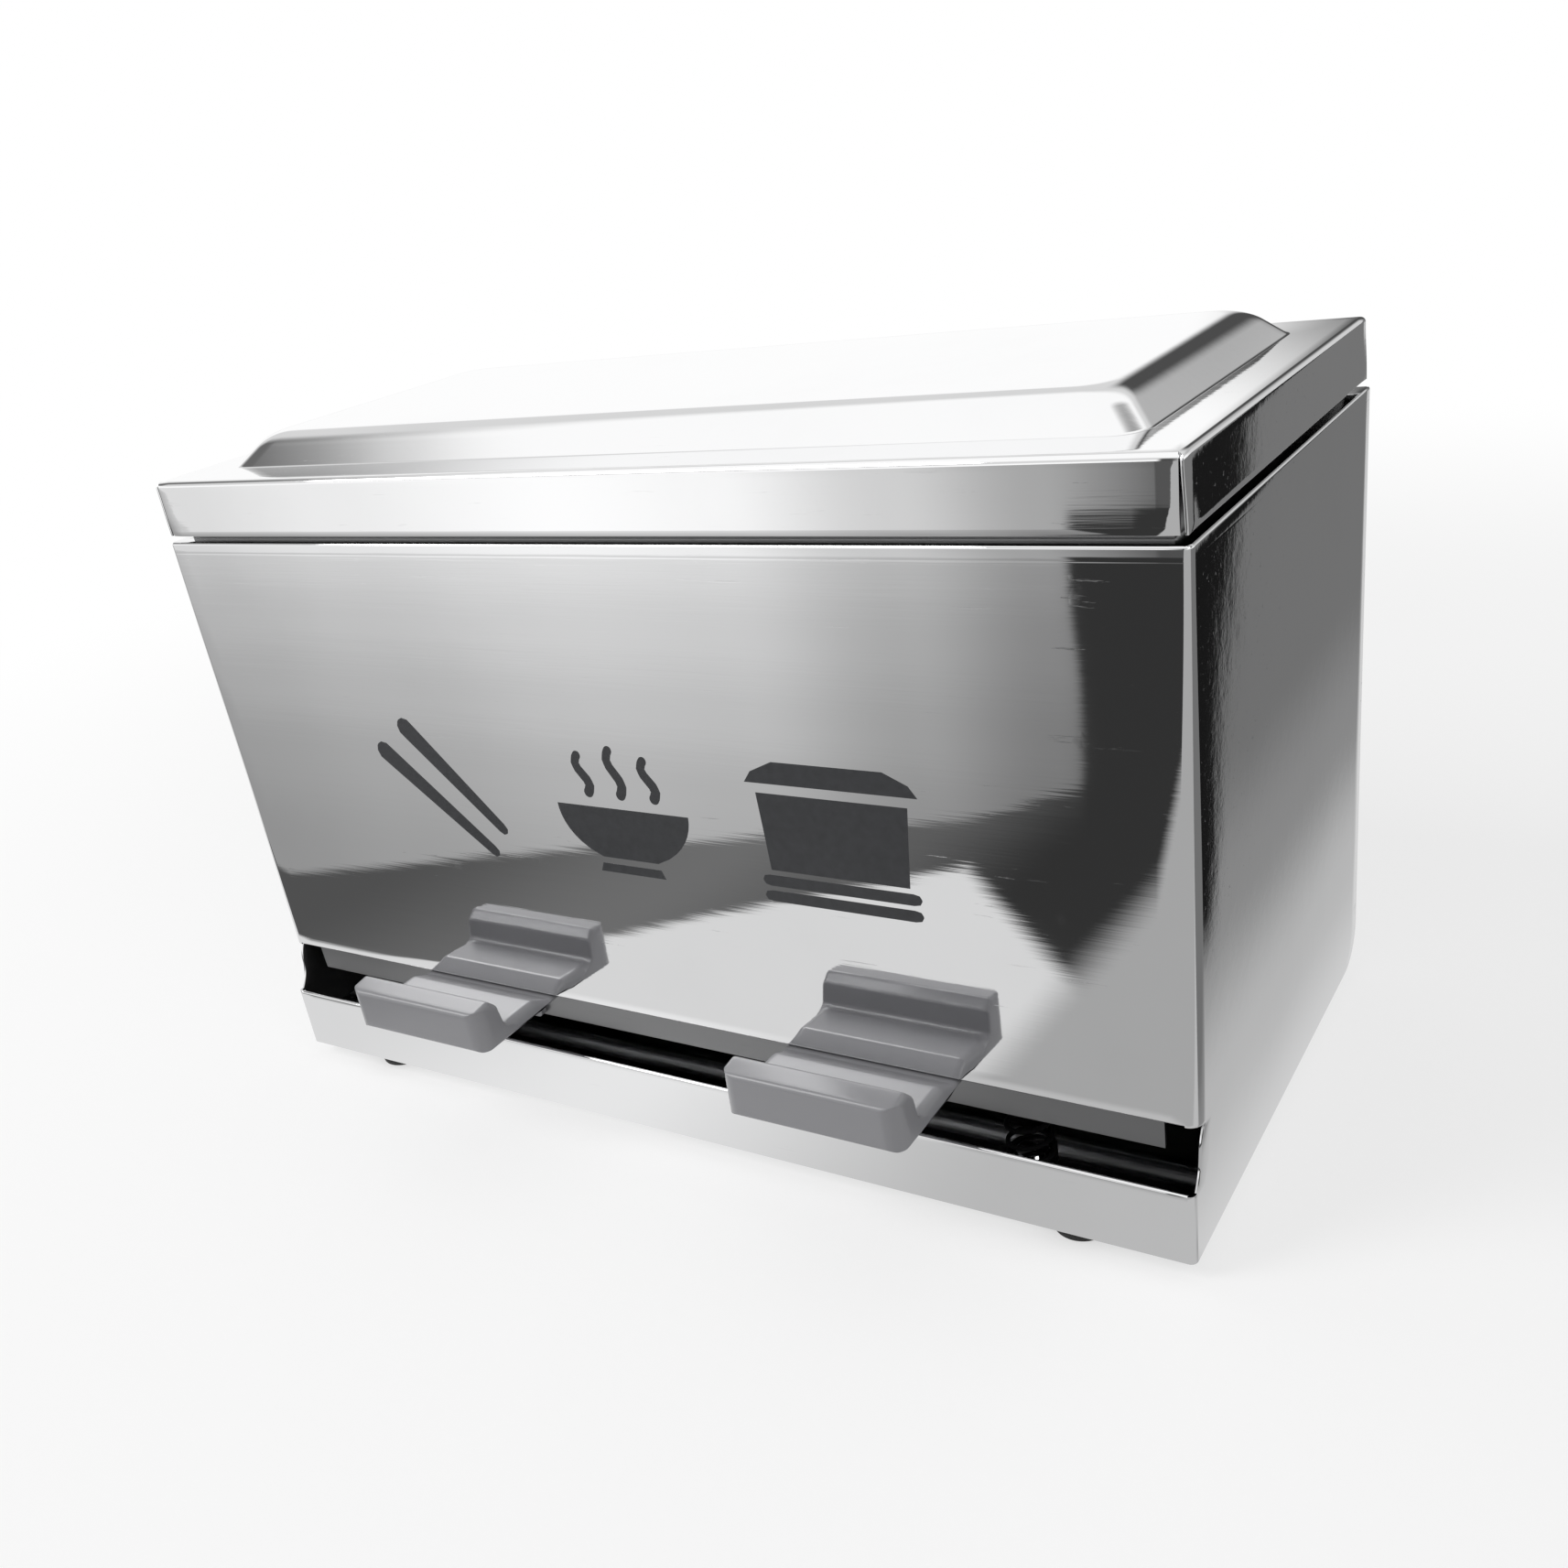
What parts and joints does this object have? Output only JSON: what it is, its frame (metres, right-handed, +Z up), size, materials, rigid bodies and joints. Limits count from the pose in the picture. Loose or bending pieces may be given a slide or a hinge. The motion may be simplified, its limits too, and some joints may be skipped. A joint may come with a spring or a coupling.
{
  "type": "chopstick holder",
  "caption": "Chopstick holder: folded steel bin with a hinged flip lid, a dispensing slot across its foot and plastic catch trays on a sprung rocker.",
  "frame": {"origin": "under the middle of the overall size, on the surface that the feet stand on", "axes": "+X along the width to the right as seen from the front, +Y from the front to the back, +Z up"},
  "size_m": [0.305, 0.1776, 0.1965],
  "materials": {
    "polished_steel": "mirror-polished stainless sheet with a faint horizontal grain",
    "plain_steel": "plain satin steel",
    "grey_plastic": "glossy mid-grey moulding",
    "black_rubber": "matt black"
  },
  "bodies": {
    "root": {"body_wrap": "polished_steel", "back_panel": "polished_steel", "bottom_pan": "polished_steel", "neck_frame": "polished_steel", "chute_floor": "polished_steel", "left_bracket": "plain_steel", "right_bracket": "plain_steel", "bracket_rivets": "plain_steel", "pivot_rod": "plain_steel", "left_rod_clip": "plain_steel", "right_rod_clip": "plain_steel", "left_return_spring": "plain_steel", "right_return_spring": "plain_steel", "left_hinge_body_leaf": "plain_steel", "left_hinge_pin": "plain_steel", "right_hinge_body_leaf": "plain_steel", "right_hinge_pin": "plain_steel", "hinge_body_rivets": "plain_steel", "foot_screws": "plain_steel", "foot_nuts": "plain_steel", "front_left_foot": "black_rubber", "front_right_foot": "black_rubber", "rear_left_foot": "black_rubber", "rear_right_foot": "black_rubber"},
    "lid": {"lid_cover": "polished_steel", "left_hinge_lid_leaf": "plain_steel", "right_hinge_lid_leaf": "plain_steel", "hinge_lid_rivets": "plain_steel"},
    "rocker": {"rocker_plate": "polished_steel", "left_tray": "grey_plastic", "right_tray": "grey_plastic", "tray_rivets": "plain_steel"}
  },
  "joints": [
    {"name": "lid_hinge", "type": "hinge", "parent": "root", "child": "lid", "pos_m": [0, 0.08665, 0.1729], "axis": [-1, 0, 0], "range_deg": [0, 180]},
    {"name": "rocker_tilt", "type": "hinge", "parent": "root", "child": "rocker", "pos_m": [0, 0.00845, 0.043], "axis": [1, 0, 0], "range_deg": [0, 9], "stiffness_Nm_per_rad": 1.8, "springref_deg": -14.32, "deforming": ["left_return_spring", "right_return_spring"]}
  ]
}
